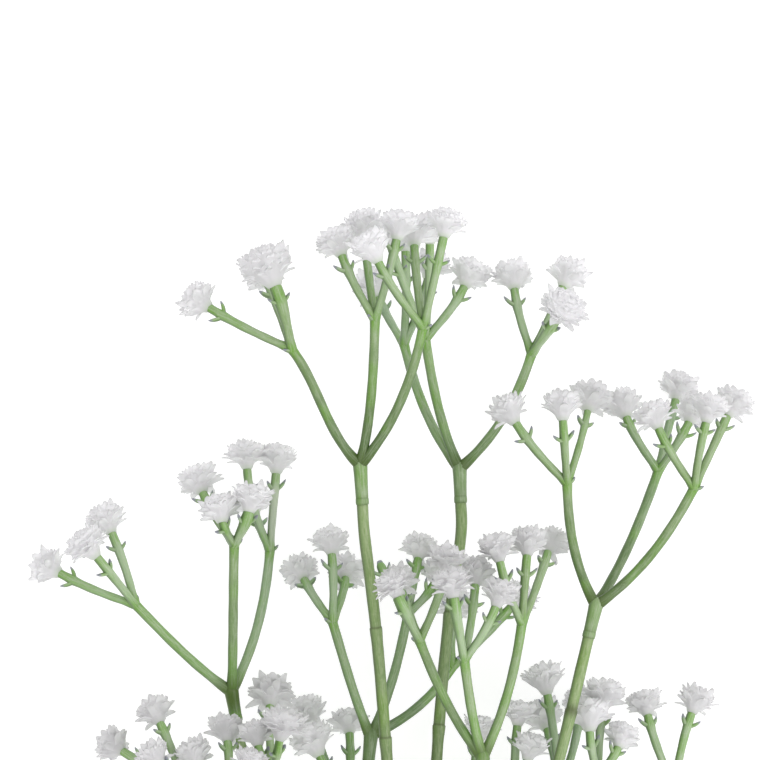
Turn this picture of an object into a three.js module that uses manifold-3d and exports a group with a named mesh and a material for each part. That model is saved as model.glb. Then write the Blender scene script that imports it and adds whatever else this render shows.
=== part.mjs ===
// Artificial gypsophila (baby's breath) stem, lying on a table. Millimetres, +Z up.
//
// A plastic-coated wire stem carries three forks. Each fork divides into three branches, and a moulded spray
// is pushed over the tip of each branch. A spray divides into three arms, each arm into three pedicels, and
// each pedicel has a pair of bracts and ends in a small white bloom with three whorls of pointed petals.

import * as THREE from "three";
import { mergeVertices } from "three/addons/utils/BufferGeometryUtils.js";
import Module from "manifold-3d";

const wasm = await Module();
wasm.setup();

// Driving dimensions.

const STEM_RADIUS = 2.8;
const WIRE_RADIUS = 0.7;
const STALK_RADIUS = 2.3;
const BRANCH_RADIUS = 1.75;
const KNOT_RADIUS = 2.05;
const KNOT_LENGTH = 5;
const KNOT_SPACING = 34;
const KNOT_STEP = 0.4; // length of the step down above a knot
const SLEEVE_RIM_RADIUS = 1.95;
const SLEEVE_CROWN_RADIUS = 2.3;
const ARM_RADIUS = 1.45;
const PEDICEL_RADIUS = 1.3;

const PEG_RADIUS = 1.05;
const STALK_PEG_RADIUS = 1.5;
const PEG_LENGTH = 6.5;
const RUNNING_GAP = 0.3; // between pieces that fit together

const BLOOM_HEIGHT = 9.8;
const BLOOM_RADIUS = 6.7;
const BLOOM_MIDDLE = 5.6; // height of a bloom's middle above the foot of its neck
const PETALS_PER_WHORL = 8;

const ARM_SPREAD = 0.75; // how far an arm starts outside its straight line
const ARM_RECOVERY = 0.5; // and how far it turns back inside that line at its end

const PEDICEL_LIFT = 7; // how far a pedicel bows up from the table

const BRACT_PLACE = 0.78; // share of the way along a pedicel
const BRACT_SPREAD = 2.1;
const BRACT_RISE = 2.4;

const LEAF_GREEN = 0x7fa758;
const STEM_GREEN = 0x6d9150;
const WIRE_GREY = 0x8a8d90;

// Layout. Points are chosen by hand. X runs across the stem, Y along it to the blooms, and Z up from the
// table.

const STEM_ROUTE = [[7, -300, 2.4], [4, -240, 5], [5.2, -180, 10.5], [7.6, -142, 16], [9, -109.3, 22.6]];
const WIRE_END = 0.86; // share of the stem's length that the wire reaches

// Each fork's seat on the stem, the node where it divides, and the routes of its three branches. A branch
// ends at the seat of the spray that it carries, and may say how far below that its first knot lies.
const FORKS = [
  {
    name: "fork_left",
    boss: [7.6, -142, 16],
    seat: [2.75, -129.6, 18.5],
    node: [-12, -92, 26],
    branches: [
      { spray: "spray_left", route: [[-27, -42, 27], [-37, -6, 27]] },
      { spray: "spray_centre_left", route: [[-7, -45, 27]] },
      { spray: "spray_low_left", route: [[-29, -60, 35]] },
    ],
  },
  {
    name: "fork_middle",
    boss: [8.7, -118, 20.8],
    seat: [9, -109, 22.7],
    node: [10.5, -84, 29],
    branches: [
      { spray: "spray_top_left", firstKnot: 38, route: [[5, -42, 40], [2.1, 0, 47], [-1.5, 42, 56]] },
      { spray: "spray_top_right", route: [[15, -42, 35], [17.1, 0, 35], [20.1, 36, 34]] },
      { spray: "spray_low_centre", route: [] },
    ],
  },
  {
    name: "fork_right",
    boss: [8.4, -130, 18],
    seat: [13.6, -117.9, 20.9],
    node: [30, -80, 30],
    branches: [
      { spray: "spray_right", firstKnot: 22.7, route: [[42, -40, 41], [53.7, 0, 48]] },
      { spray: "spray_front", route: [[30, -45, 43]] },
      { spray: "spray_low_right", route: [] },
    ],
  },
];

// Where each spray's sleeve begins (seat), where its arms part (crown), and for each arm its fork and the
// middles of its three blooms. A spray may say the size of its blooms. An arm may say how much it bows, and
// how much it turns back at its fork. A bloom may say its own size, how stout its pedicel grows, how far that
// bows outwards and lifts, or that it is bare.
const SPRAYS = [
  {
    name: "spray_top_left",
    seat: [-5.3, 77.4, 60.8],
    crown: [-6, 89.4, 62],
    arms: [
      {
        fork: [-27, 124, 72],
        bow: 0.9,
        turn: -0.7,
        blooms: [[-55, 138, 64], [-33.8, 148.5, 78, { size: 1.35, stout: 1.45 }], [-35, 146, 54]],
      },
      { fork: [-1.5, 133, 76], blooms: [[-13, 155.5, 72], [-5, 160.5, 63], [6, 161, 80]] },
      { fork: [13, 130.5, 80], blooms: [[-3, 154.2, 88, { size: 1.05 }], [10, 158.5, 69], [20, 161.5, 79]] },
    ],
  },
  {
    name: "spray_top_right",
    seat: [24.3, 77.6, 32],
    crown: [24, 88, 32],
    arms: [
      { fork: [7, 126, 21], blooms: [[-2.5, 143.5, 5.3, { lift: 0 }], [15.5, 149.5, 25], [7.5, 158.5, 32]] },
      { fork: [13.5, 127.5, 34], blooms: [[27.5, 146.5, 34], [15, 160.5, 47], [1.5, 159.5, 48]] },
      {
        fork: [46, 123, 38],
        blooms: [
          [40, 146, 34],
          [55.5, 136.5, 54, { size: 1.15, bow: 1, lift: 3, stout: 1.25 }],
          [57, 146.5, 34],
        ],
      },
    ],
  },
  {
    name: "spray_right",
    seat: [62.7, 37.2, 46],
    crown: [65, 47, 46],
    arms: [
      {
        fork: [56.2, 84, 44],
        blooms: [[38, 105.5, 48], [54.5, 107.3, 53], [63.5, 109, 32, { stout: 0.8 }]],
      },
      { fork: [84.5, 87.5, 24], blooms: [[73, 107, 24], [91.3, 112.5, 5.3, { lift: 0 }], [95.5, 105, 22]] },
      { fork: [94.8, 82.5, 46], blooms: [[81.6, 104.4, 52], [99, 106.5, 54], [106.5, 107.5, 40]] },
    ],
  },
  {
    name: "spray_left",
    seat: [-43.5, 11.5, 28],
    crown: [-45, 20.7, 30],
    arms: [
      {
        fork: [-74.5, 47, 34],
        bow: 0.3,
        blooms: [[-101, 58, 30], [-89, 65.7, 48, { size: 1.1 }], [-83, 72.3, 32]],
      },
      {
        fork: [-43.8, 65.7, 47],
        bow: 0,
        blooms: [[-55, 84.3, 42], [-48, 76.2, 54], [-38, 79.5, 57, { stout: 1.35 }]],
      },
      {
        fork: [-33.3, 63.5, 22],
        blooms: [[-31, 91, 26], [-40.5, 92.5, 30, { bow: 10 }], [-39, 78, 5.3, { lift: 0 }]],
      },
    ],
  },
  {
    name: "spray_centre_left",
    seat: [-3.6, -2.2, 28],
    crown: [-2.7, 7.2, 28],
    bloomSize: 0.92,
    arms: [
      { fork: [-14.7, 42, 30], bow: 0.2, blooms: [[-24.6, 56.5, 18], [-15, 65.7, 28], [-10.2, 56.6, 16]] },
      { fork: [8.7, 44.5, 22], blooms: [[12.3, 64, 20], [18.3, 56, 22], [-1.5, 63.5, 24, { bare: true }]] },
      { fork: [22.5, 28, 20], blooms: [[23.4, 46.5, 20], [43, 49.2, 24], [22.5, 58, 7, { lift: 0 }]] },
    ],
  },
  {
    name: "spray_front",
    seat: [31.2, -7.5, 57],
    crown: [30.6, 1.8, 60],
    bloomSize: 0.92,
    arms: [
      {
        fork: [11.4, 37.2, 62],
        bow: 0.7,
        blooms: [[3.3, 54, 76, { stout: 1.35 }], [5.2, 53.8, 50], [20, 61, 64]],
      },
      {
        fork: [25, 31.5, 67],
        blooms: [[21, 54.6, 78, { size: 1, stout: 1.25 }], [28.8, 56.5, 56], [36, 51, 72]],
      },
      { fork: [42.6, 42, 54], blooms: [[34.8, 64.5, 62], [44.4, 66, 54], [51.6, 65.4, 35]] },
    ],
  },
  {
    name: "spray_low_right",
    seat: [61.5, -34.5, 27],
    crown: [67.8, -27, 26],
    bloomSize: 0.92,
    arms: [
      { fork: [54, -9, 18], blooms: [[49.5, 24.6, 26], [49.5, 12.3, 12], [61, 16, 8]] },
      { fork: [66, -4.5, 32], blooms: [[67.5, 19.5, 30], [63, 14, 38], [73.3, 7.2, 36]] },
      { fork: [89.7, -9, 26], blooms: [[80, 17, 26], [95.7, 17.7, 28], [101, -8, 10]] },
    ],
  },
  {
    name: "spray_low_left",
    seat: [-41.5, -34.5, 43],
    crown: [-47.5, -27, 44],
    bloomSize: 0.92,
    arms: [
      { fork: [-60, -4.5, 44], blooms: [[-68, 14.7, 42], [-80.7, 4.2, 36], [-68.4, 1.8, 54]] },
      { fork: [-45.6, -9, 46], blooms: [[-56, 2.4, 50], [-46.2, 9.3, 42], [-38.4, 1, 60]] },
      { fork: [-31.5, -4.5, 40], blooms: [[-33, 19.8, 26], [-28.5, 12.6, 57], [-37.2, 8.7, 50]] },
    ],
  },
  {
    name: "spray_low_centre",
    seat: [11.5, -50, 28],
    crown: [12, -40, 26],
    bloomSize: 0.92,
    arms: [
      { fork: [-10.5, -15, 17], blooms: [[-9.6, 10.8, 12], [-21, 6, 26], [-23, 13.5, 13]] },
      { fork: [27, -22, 15], blooms: [[30.6, 9.6, 24], [22, -11, 24], [38, -10, 8]] },
      { fork: [42, -20, 24], blooms: [[42, 14.5, 30], [45.6, 4.2, 36], [54, -8, 32]] },
    ],
  },
];

// Shapes.

const vector = (point) => new THREE.Vector3(point[0], point[1], point[2]);

// The part of a direction that is square to an axis.
const squareTo = (direction, axis) => direction.clone().addScaledVector(axis, -direction.dot(axis));

// A point some way from a start, in a direction.
const towards = (start, direction, distance) => start.clone().addScaledVector(direction, distance);

// A regular outline of a rod's section.
function roundSection(radius, sides) {
  const corners = Array.from({ length: sides }, (_, i) => {
    const angle = (2 * Math.PI * i) / sides;
    return new THREE.Vector2(radius * Math.cos(angle), radius * Math.sin(angle));
  });
  return new THREE.Shape(corners);
}

function rod(curve, radius, sides, steps) {
  return toSolid(new THREE.ExtrudeGeometry(roundSection(radius, sides), { steps, extrudePath: curve }));
}

const straightRod = (from, to, radius, sides) => rod(new THREE.LineCurve3(from, to), radius, sides, 1);

// A round collar that widens along its axis, standing at a point.
function collar(centre, axis, length, startRadius, endRadius, sides) {
  const profile = [[0, 0], [startRadius, 0], [endRadius, length], [0, length]];
  const geometry = new THREE.LatheGeometry(profile.map(([x, y]) => new THREE.Vector2(x, y)), sides);
  geometry.applyQuaternion(new THREE.Quaternion().setFromUnitVectors(new THREE.Vector3(0, 1, 0), axis));
  geometry.translate(centre.x, centre.y, centre.z);
  return toSolid(geometry);
}

function toSolid(geometry) {
  const bare = geometry.clone();
  bare.deleteAttribute("normal");
  bare.deleteAttribute("uv");
  const merged = mergeVertices(bare, 1e-4);
  return new wasm.Manifold(
    new wasm.Mesh({
      numProp: 3,
      vertProperties: merged.getAttribute("position").array,
      triVerts: new Uint32Array(merged.index.array),
    }),
  );
}

// Fuses pieces into one body, and fills any hollow that the fusing seals.
function fuse(pieces) {
  const shells = wasm.Manifold.union(pieces).decompose();
  return shells.reduce((largest, shell) => (shell.volume() > largest.volume() ? shell : largest));
}

function toMesh(solid, name, colour) {
  const cut = solid.getMesh();
  const geometry = new THREE.BufferGeometry();
  geometry.setAttribute("position", new THREE.BufferAttribute(new Float32Array(cut.vertProperties), 3));
  geometry.setIndex(new THREE.BufferAttribute(new Uint32Array(cut.triVerts), 1));
  geometry.computeVertexNormals();
  const material = new THREE.MeshStandardMaterial({ color: colour, roughness: 0.45, metalness: 0 });
  const mesh = new THREE.Mesh(geometry, material);
  mesh.name = name;
  return mesh;
}

// A closed skin of triangles, built up ring by ring. A ring is a list of corner numbers, anticlockwise as
// seen from its upper side.
class Skin {
  constructor() {
    this.corners = [];
    this.triangles = [];
  }

  ring(points) {
    const first = this.corners.length;
    this.corners.push(...points);
    return points.map((_, i) => first + i);
  }

  floor(ring) {
    for (let i = 1; i < ring.length - 1; i++) this.triangles.push([ring[0], ring[i + 1], ring[i]]);
  }

  roof(ring) {
    for (let i = 1; i < ring.length - 1; i++) this.triangles.push([ring[0], ring[i], ring[i + 1]]);
  }

  // Joins a ring to the one above it, which may have twice as many corners.
  wall(low, high) {
    const share = high.length / low.length;
    low.forEach((corner, i) => {
      const next = low[(i + 1) % low.length];
      const above = Array.from({ length: share + 1 }, (_, k) => high[(share * i + k) % high.length]);
      for (let k = 0; k < share; k++) this.triangles.push([k < 1 ? corner : next, above[k + 1], above[k]]);
      this.triangles.push([corner, next, above[1]]);
    });
  }

  // Triangles that rise from a base, anticlockwise as seen from outside, to a point.
  petal(tip, ...base) {
    base.forEach((corner, i) => this.triangles.push([corner, base[(i + 1) % base.length], tip]));
  }

  solid() {
    const geometry = new THREE.BufferGeometry();
    const numbers = this.corners.flatMap((corner) => corner.toArray());
    geometry.setAttribute("position", new THREE.Float32BufferAttribute(numbers, 3));
    geometry.setIndex(this.triangles.flat());
    return toSolid(geometry);
  }
}

// Places rings along a curve without twisting. Each frame has its centre and three square directions.
function framesAlong(curve, shares) {
  let across = new THREE.Vector3(0.3, 0.1, 1);
  return shares.map((share) => {
    const along = curve.getTangentAt(share);
    across = squareTo(across, along).normalize();
    return { centre: curve.getPointAt(share), along, across, beside: along.clone().cross(across) };
  });
}

// Corners round a frame, from a turn given in steps.
function cornersRound(frame, radius, count, { height = 0, turn = 0, wave = 0 } = {}) {
  return Array.from({ length: count }, (_, i) => {
    const angle = (2 * Math.PI * (i + turn)) / count;
    const lift = height + (i % 2 ? wave : 0);
    return frame.centre
      .clone()
      .addScaledVector(frame.across, radius * Math.cos(angle))
      .addScaledVector(frame.beside, radius * Math.sin(angle))
      .addScaledVector(frame.along, lift);
  });
}

// A pedicel with its two bracts and its bloom, as one skin. A stout one thickens towards its bloom. The
// bracts are two opposite corners of a ring, drawn out and up.
function floret(curve, size, stout, bare) {
  const skin = new Skin();
  const frames = framesAlong(curve, [0, 0.4, BRACT_PLACE, BRACT_PLACE + 0.03, 1]);
  const rings = frames.map((frame, i) => {
    const points = cornersRound(frame, PEDICEL_RADIUS * (i < 2 ? 1 + 0.4 * (stout - 1) : stout), 4);
    if (i !== 2) return skin.ring(points);
    for (const point of [points[1], points[3]]) {
      const outward = point.clone().sub(frame.centre).normalize();
      point.addScaledVector(outward, BRACT_SPREAD).addScaledVector(frame.along, BRACT_RISE);
    }
    return skin.ring(points);
  });
  skin.floor(rings[0]);
  for (let i = 1; i < rings.length; i++) skin.wall(rings[i - 1], rings[i]);
  if (bare) skin.roof(rings.at(-1));
  else addBloom(skin, rings.at(-1), frames.at(-1), size);
  return skin.solid();
}

// A bloom opens from the end of its pedicel. Its surface is a net of diamonds, each raised to a pointed
// petal: a spreading outer whorl, a half-open middle one and an upright inner one.
function addBloom(skin, foot, frame, size) {
  const n = PETALS_PER_WHORL;
  const ring = (radius, height, turn, wave = 0) => {
    const options = { height: height * BLOOM_HEIGHT * size, turn, wave: wave * BLOOM_HEIGHT * size };
    return skin.ring(cornersRound(frame, radius * BLOOM_RADIUS * size, n, options));
  };
  const low = ring(0.54, 0.34, 0);
  const outerTips = ring(1, 0.42, 0.5, 0.1);
  const middle = ring(0.7, 0.58, 0.5);
  const middleTips = ring(0.92, 0.76, 0, 0.05);
  const high = ring(0.5, 0.8, 0);
  const innerTips = ring(0.5, 1, 0.5);
  const [top] = skin.ring([towards(frame.centre, frame.along, 0.9 * BLOOM_HEIGHT * size)]);

  skin.wall(foot, low);
  for (let i = 0; i < n; i++) {
    const next = (i + 1) % n;
    const before = (i + n - 1) % n;
    skin.petal(outerTips[i], low[i], low[next], middle[i]);
    skin.petal(middleTips[i], low[i], middle[i], high[i], middle[before]);
    if (i % 2) skin.triangles.push([middle[i], high[next], top], [middle[i], top, high[i]]);
    else skin.petal(innerTips[i], middle[i], high[next], top, high[i]);
  }
}

// An arm leaves the crown more outwards than its fork lies, and turns back before it. Arms that lean out
// start nearer the crown's edge.
function armCurve(crown, fork, axis, bow, turn) {
  const chord = fork.clone().sub(crown);
  const reach = 0.35 * chord.length();
  chord.normalize();
  const outward = squareTo(chord, axis);
  const root = towards(crown, outward, 2 * (SLEEVE_CROWN_RADIUS - ARM_RADIUS));
  const start = towards(chord, outward, ARM_SPREAD * bow).normalize();
  const end = towards(chord, outward, -ARM_RECOVERY * turn).normalize();
  return new THREE.CubicBezierCurve3(root, towards(root, start, reach), towards(fork, end, -reach), fork);
}

// A pedicel bows up and away from its arm's line, and stops at the foot of its bloom.
function pedicelCurve(fork, armEnd, middle, size, bow, lift) {
  const root = towards(fork, armEnd, -1);
  const chord = middle.clone().sub(root);
  const outward = squareTo(chord.clone().normalize(), armEnd);
  const bend = towards(towards(root, chord, 0.42), outward, bow);
  bend.z += lift;
  const facing = middle.clone().sub(bend).normalize();
  return new THREE.QuadraticBezierCurve3(root, bend, towards(middle, facing, -BLOOM_MIDDLE * size));
}

function makeFloret(fork, armEnd, bloomSize, [x, y, z, options = {}]) {
  const { size = bloomSize, stout = 1, bow = 4, lift = PEDICEL_LIFT, bare = false } = options;
  const curve = pedicelCurve(fork, armEnd, new THREE.Vector3(x, y, z), size, bow, lift);
  return floret(curve, size, stout, bare);
}

function makeSpray(layout) {
  const seat = vector(layout.seat);
  const crown = vector(layout.crown);
  const axis = crown.clone().sub(seat).normalize();
  const sleeveLength = crown.distanceTo(seat) + 1;
  const pieces = [collar(seat, axis, sleeveLength, SLEEVE_RIM_RADIUS, SLEEVE_CROWN_RADIUS, 7)];
  for (const { fork: [x, y, z], bow = 1, turn = bow, blooms } of layout.arms) {
    const fork = new THREE.Vector3(x, y, z);
    const curve = armCurve(crown, fork, axis, bow, turn);
    pieces.push(rod(curve, ARM_RADIUS, 5, 3));
    const armEnd = curve.getTangentAt(1);
    pieces.push(...blooms.map((bloom) => makeFloret(fork, armEnd, layout.bloomSize ?? 1, bloom)));
  }
  return fuse(pieces).subtract(bore(seat, axis, PEG_RADIUS));
}

// A hole for a peg, from just outside its mouth.
const bore = (mouth, axis, pegRadius) =>
  straightRod(towards(mouth, axis, -1), towards(mouth, axis, PEG_LENGTH + 1), pegRadius + RUNNING_GAP, 7);

// A branch runs from its fork's node to just short of its spray's seat, and its peg stands up into the
// sleeve. It thickens to a knot at even distances from its upper end.
function makeBranch(node, branch) {
  const spray = SPRAYS.find((layout) => layout.name === branch.spray);
  const seat = vector(spray.seat);
  const axis = vector(spray.crown).sub(seat).normalize();
  const shoulder = towards(seat, axis, -RUNNING_GAP);
  const route = [node, ...branch.route.map(vector), towards(shoulder, axis, -8), shoulder];
  const curve = new THREE.CatmullRomCurve3(route);
  const length = curve.getLength();
  const stations = [{ along: 0, radius: BRANCH_RADIUS }];
  const firstKnot = branch.firstKnot ?? KNOT_SPACING;
  const lastKnot = Math.floor((length - 3 * KNOT_LENGTH - firstKnot) / KNOT_SPACING);
  for (let k = lastKnot; k >= 0; k--) {
    const knot = length - firstKnot - k * KNOT_SPACING;
    stations.push({ along: knot - KNOT_LENGTH, radius: BRANCH_RADIUS }, { along: knot, radius: KNOT_RADIUS });
    stations.push({ along: knot + KNOT_STEP, radius: BRANCH_RADIUS });
  }
  stations.push({ along: length, radius: BRANCH_RADIUS });
  const skin = new Skin();
  const frames = framesAlong(curve, stations.map(({ along }) => along / length));
  const rings = frames.map((frame, i) => skin.ring(cornersRound(frame, stations[i].radius, 6)));
  skin.floor(rings[0]);
  for (let i = 1; i < rings.length; i++) skin.wall(rings[i - 1], rings[i]);
  skin.roof(rings.at(-1));
  const peg = straightRod(towards(shoulder, axis, -2), towards(shoulder, axis, PEG_LENGTH), PEG_RADIUS, 6);
  return wasm.Manifold.union([skin.solid(), peg]);
}

function makeFork(layout) {
  const seat = vector(layout.seat);
  const node = vector(layout.node);
  const rise = node.clone().sub(seat).normalize();
  const shoulder = towards(seat, rise, RUNNING_GAP);
  return fuse([
    straightRod(shoulder, towards(node, rise, 2), STALK_RADIUS, 7),
    straightRod(towards(seat, rise, -PEG_LENGTH), towards(seat, rise, 2), STALK_PEG_RADIUS, 7),
    ...layout.branches.map((branch) => makeBranch(node, branch)),
  ]);
}

const stemCurve = new THREE.CatmullRomCurve3(STEM_ROUTE.map(vector));

// The wire follows the stem's middle from a little above the cut end.
function wireCurve(start) {
  const shares = Array.from({ length: 8 }, (_, i) => THREE.MathUtils.lerp(start, WIRE_END, i / 7));
  return new THREE.CatmullRomCurve3(shares.map((share) => stemCurve.getPointAt(share)));
}

const makeWire = () => rod(wireCurve(0.002), WIRE_RADIUS, 5, 8);

function makeStem() {
  const pieces = [rod(stemCurve, STEM_RADIUS, 8, 9)];
  const bores = [rod(wireCurve(0), WIRE_RADIUS + RUNNING_GAP, 5, 8)];
  for (const layout of FORKS) {
    const boss = vector(layout.boss);
    const seat = vector(layout.seat);
    const rise = vector(layout.node).sub(seat).normalize();
    pieces.push(straightRod(boss, seat, STEM_RADIUS, 7));
    bores.push(bore(seat, rise.negate(), STALK_PEG_RADIUS));
  }
  return fuse(pieces).subtract(wasm.Manifold.union(bores));
}

// What lies on the table is pressed flat there.
const table = toSolid(new THREE.BoxGeometry(1000, 1000, 40).translate(0, 0, -20));

const plant = new THREE.Group();
plant.add(toMesh(makeStem().subtract(table), "main_stem", STEM_GREEN));
plant.add(toMesh(makeWire(), "stem_wire", WIRE_GREY));
for (const layout of FORKS) plant.add(toMesh(makeFork(layout), layout.name, STEM_GREEN));
for (const layout of SPRAYS) plant.add(toMesh(makeSpray(layout).subtract(table), layout.name, LEAF_GREEN));

// The origin is on the table, under the middle of the part.
const middle = new THREE.Box3().setFromObject(plant, true).getCenter(new THREE.Vector3());
plant.position.set(-middle.x, -middle.y, 0);

export default plant;
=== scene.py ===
import math
import random
import bmesh
import bpy
import numpy as np
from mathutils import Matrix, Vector


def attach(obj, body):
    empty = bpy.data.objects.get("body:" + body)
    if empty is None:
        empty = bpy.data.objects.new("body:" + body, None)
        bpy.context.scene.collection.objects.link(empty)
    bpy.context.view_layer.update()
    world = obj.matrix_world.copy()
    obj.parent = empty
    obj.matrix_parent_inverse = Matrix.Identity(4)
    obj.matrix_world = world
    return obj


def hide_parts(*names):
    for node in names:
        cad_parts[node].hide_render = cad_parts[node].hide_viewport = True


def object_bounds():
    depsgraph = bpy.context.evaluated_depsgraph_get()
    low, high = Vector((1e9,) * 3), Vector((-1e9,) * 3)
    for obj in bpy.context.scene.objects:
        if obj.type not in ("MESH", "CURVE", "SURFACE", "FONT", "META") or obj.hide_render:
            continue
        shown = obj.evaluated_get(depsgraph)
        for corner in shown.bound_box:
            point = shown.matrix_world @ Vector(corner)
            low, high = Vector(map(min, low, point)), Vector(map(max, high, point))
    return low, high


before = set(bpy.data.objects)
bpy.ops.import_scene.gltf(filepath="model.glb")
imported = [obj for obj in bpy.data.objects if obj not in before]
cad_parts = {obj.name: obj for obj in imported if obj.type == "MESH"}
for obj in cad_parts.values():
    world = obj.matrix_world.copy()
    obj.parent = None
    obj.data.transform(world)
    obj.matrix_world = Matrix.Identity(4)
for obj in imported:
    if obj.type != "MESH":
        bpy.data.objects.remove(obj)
cadLow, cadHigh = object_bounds()
millimetre = 0.001

# The pieces are laid out in millimetres, and makePiece turns them into metres.
layoutMiddle = np.array([3.2096, -66.7826, 0.0])  # the layout's point that stands over the frame's origin


# Studio: a pale floor under the stem, a soft key light from the right and a camera straight above

studio = {
    "viewCentre": (0.0, 114.0, 50.0),  # layout point in the middle of the picture
    "viewWidth": 228.0,
    "cameraHeight": 3000.0,
    "sensor": 36.0,
    "clip": (0.1, 100.0),  # metres
    "floorSize": 60.0,  # metres
    "floorDrop": 0.00005,  # metres below the table's own height
    "floorColour": (196, 196, 196),
    "floorRoughness": 0.9,
    "floorClouds": (3.0, 4),  # their scale, and how much paler they are
    "floorGlow": 0.64,  # as of a light table
    "skyColour": (254, 254, 254),
    "skyStrength": 0.9,
    "keyPlace": (1500.0, -300.0, 1500.0),
    "keySize": 1.5,  # metres
    "keyPower": 11.0,
}


def linear(colour):
    # 0 to 255 as seen on screen, turned into the shader's own numbers
    shares = [part / 255 for part in colour]
    return tuple(s / 12.92 if s <= 0.04045 else ((s + 0.055) / 1.055) ** 2.4 for s in shares) + (1.0,)


def place(point):
    return np.array(point[:3], float) - layoutMiddle


def addObject(name, data):
    made = bpy.data.objects.new(name, data)
    bpy.context.scene.collection.objects.link(made)
    return made


def makeStudio():
    target = place(studio["viewCentre"]) * millimetre
    cameraData = bpy.data.cameras.new("camera")
    cameraData.sensor_width = studio["sensor"]
    cameraData.lens = studio["sensor"] * studio["cameraHeight"] / studio["viewWidth"]
    cameraData.clip_start, cameraData.clip_end = studio["clip"]
    camera = addObject("camera", cameraData)
    camera.location = target + np.array([0, 0, studio["cameraHeight"] * millimetre])
    bpy.context.scene.camera = camera

    half = studio["floorSize"] / 2
    corners = [(-half, -half), (half, -half), (half, half), (-half, half)]
    floorMesh = bpy.data.meshes.new("floor")
    floorMesh.from_pydata([(x, y, -studio["floorDrop"]) for x, y in corners], [], [(0, 1, 2, 3)])
    floor = addObject("floor", floorMesh)
    floorMesh.materials.append(floorFinish())

    lampData = bpy.data.lights.new("key", "AREA")
    lampData.shape = "DISK"
    lampData.size = studio["keySize"]
    lampData.energy = studio["keyPower"]
    lamp = addObject("key", lampData)
    lamp.location = place(studio["keyPlace"]) * millimetre
    aim = Vector(target) - lamp.location
    lamp.rotation_euler = aim.to_track_quat("-Z", "Y").to_euler()
    lamp.visible_camera = False

    sky = bpy.data.worlds.new("sky")
    sky.use_nodes = True
    background = sky.node_tree.nodes["Background"]
    background.inputs["Color"].default_value = linear(studio["skyColour"])
    background.inputs["Strength"].default_value = studio["skyStrength"]
    bpy.context.scene.world = sky
    bpy.context.scene.view_settings.view_transform = "Standard"
    bpy.context.scene.view_settings.look = "None"


# Shader sums: a Value is a node's output that ordinary arithmetic works on

class Value:
    def __init__(self, finish, output):
        self.finish, self.output = finish, output

    def sum(self, operation, first, second):
        return self.finish.node("Math", {"operation": operation}, {0: first, 1: second})

    def __add__(self, other):
        return self.sum("ADD", self, other)

    def __radd__(self, other):
        return self.sum("ADD", other, self)

    def __sub__(self, other):
        return self.sum("SUBTRACT", self, other)

    def __rsub__(self, other):
        return self.sum("SUBTRACT", other, self)

    def __mul__(self, other):
        return self.sum("MULTIPLY", self, other)

    def __rmul__(self, other):
        return self.sum("MULTIPLY", other, self)

    def __truediv__(self, other):
        return self.sum("DIVIDE", self, other)

    def above(self, low, high):
        # 0 below the low value, 1 over the high one, and smooth between them
        settings = {"interpolation_type": "SMOOTHSTEP"}
        return self.finish.node("MapRange", settings, {"Value": self, "From Min": low, "From Max": high})


class Finish:
    def __init__(self, name):
        self.material = bpy.data.materials.new(name)
        self.material.use_nodes = True
        self.tree = self.material.node_tree
        self.shader = self.tree.nodes["Principled BSDF"]

    def node(self, kind, settings=None, sockets=None, output=0):
        made = self.tree.nodes.new("ShaderNode" + kind)
        for key, value in (settings or {}).items():
            setattr(made, key, value)
        for key, value in (sockets or {}).items():
            self.feed(made.inputs[key], value)
        return Value(self, made.outputs[output])

    def feed(self, socket, value):
        if isinstance(value, Value):
            self.tree.links.new(value.output, socket)
        else:
            socket.default_value = value

    def mark(self, name, output="Fac"):
        return self.node("Attribute", {"attribute_name": name}, output=output)

    def mix(self, factor, first, second):
        first, second = (linear(side) if isinstance(side, tuple) else side for side in (first, second))
        return self.node("Mix", {"data_type": "RGBA"}, {0: factor, 6: first, 7: second}, output=2)

    def noise(self, vector, scale, detail=2.0, roughness=0.5):
        sockets = {"Vector": vector, "Scale": scale, "Detail": detail, "Roughness": roughness}
        return self.node("TexNoise", {}, sockets)

    def stretched(self, vector, factors):
        return self.node("VectorMath", {"operation": "MULTIPLY"}, {0: vector, 1: factors})

    def part(self, vector, letter):
        return self.node("SeparateXYZ", {}, {0: vector}, output=letter)

    def bump(self, strength, distance, height):
        sockets = {"Strength": strength, "Distance": distance, "Height": height}
        return self.node("Bump", {}, sockets, output="Normal")

    def surface(self, **sockets):
        for key, value in sockets.items():
            name = "".join(" " + letter if letter.isupper() else letter for letter in key).title()
            self.feed(self.shader.inputs[name.replace("Ior", "IOR")], value)
        return self.material


def floorFinish():
    finish = Finish("pale floor")
    position = finish.node("TexCoord", output="Object")
    scale, lift = studio["floorClouds"]
    cloud = finish.noise(position, scale)
    paler = tuple(part + lift for part in studio["floorColour"])
    return finish.surface(
        baseColor=finish.mix(cloud, studio["floorColour"], paler),
        roughness=studio["floorRoughness"],
        emissionColor=(1.0, 1.0, 1.0, 1.0),
        emissionStrength=studio["floorGlow"],
    )


# Green plastic of the stem and the sprays. grain runs round and along each piece. shade paints shade into
# crotches, creases, grooves and bores, and the stain of stained knots, and below zero marks clear green.
# fresh marks the young green towards the blooms, and tip the scales' greyed ends. Painted shade also greys
# what lies low and darkens each piece's two sides, and a painted highlight pales the side that faces up.

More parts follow.
